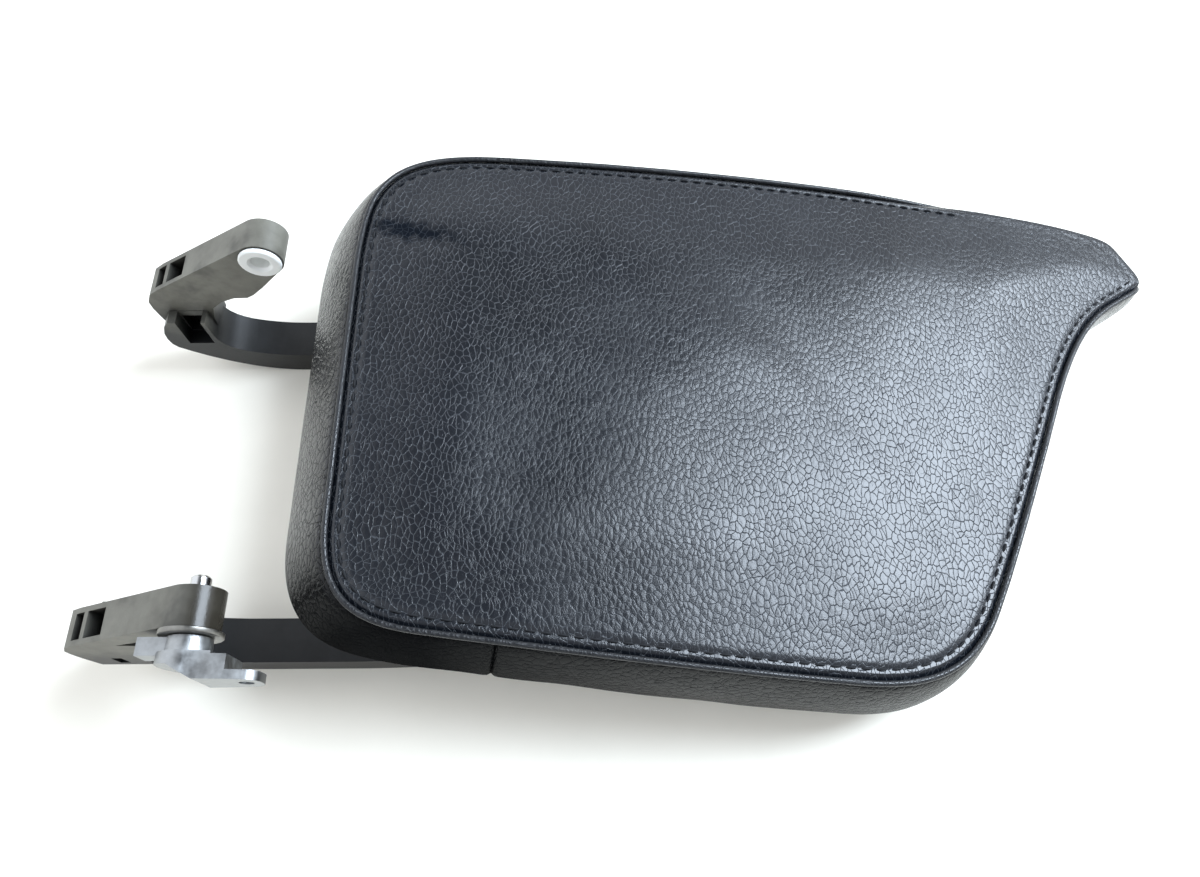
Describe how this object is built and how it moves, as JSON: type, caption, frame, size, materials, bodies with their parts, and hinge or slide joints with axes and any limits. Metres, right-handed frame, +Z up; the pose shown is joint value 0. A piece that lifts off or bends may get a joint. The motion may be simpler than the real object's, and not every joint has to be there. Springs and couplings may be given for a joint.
{
  "type": "console armrest lid",
  "caption": "Leather-wrapped console armrest lid with a swept, pointed front, two gooseneck hinge arms, and a cast hinge bracket on its pivot pin.",
  "frame": {"origin": "centre of the bounding box, on the surface the lid lies on", "axes": "+X from the hinge end to the front tip, +Y to the far side, +Z up; the lid lies on its two arm soles and its front bumper, pad face up and sloping down to the front by 8.5 degrees"},
  "size_m": [0.384, 0.2022, 0.0767],
  "materials": {
    "leather": "pebble-grained charcoal leather, soft sheen",
    "wrap_leather": "finer grained charcoal leather",
    "foam": "moulded grey foam",
    "carrier": "black moulded plastic",
    "liner": "black spark-textured moulded plastic",
    "arm": "warm grey glass-filled moulding",
    "nylon": "natural white nylon",
    "screw": "black-passivated steel",
    "rubber": "black rubber",
    "zinc": "bare die-cast zinc",
    "pin_steel": "polished steel",
    "washer_steel": "plain steel"
  },
  "bodies": {
    "lid": {"top_panel": "leather", "welt_piping": "wrap_leather", "side_wrap_front": "wrap_leather", "side_wrap_rear": "wrap_leather", "foam_pad": "foam", "carrier_tray": "carrier", "inner_liner": "liner", "hinge_arm_near": "arm", "hinge_arm_far": "arm", "bush_near": "nylon", "bush_far": "nylon", "arm_screw_near_1": "screw", "arm_screw_near_2": "screw", "arm_screw_near_3": "screw", "arm_screw_far_1": "screw", "arm_screw_far_2": "screw", "arm_screw_far_3": "screw", "liner_screw_1": "screw", "liner_screw_2": "screw", "liner_screw_3": "screw", "liner_screw_4": "screw", "liner_screw_5": "screw", "liner_screw_6": "screw", "liner_screw_7": "screw", "liner_screw_8": "screw", "bumper_1": "rubber", "bumper_2": "rubber", "bumper_3": "rubber", "bumper_4": "rubber"},
    "bracket": {"hinge_bracket": "zinc", "pivot_pin": "pin_steel", "pivot_washer": "washer_steel"}
  },
  "joints": [
    {"name": "lid_hinge", "type": "hinge", "parent": "lid", "child": "bracket", "pos_m": [-0.14116, -0.08289, 0.0675], "axis": [0, 1, 0], "range_deg": [0, 80]}
  ]
}
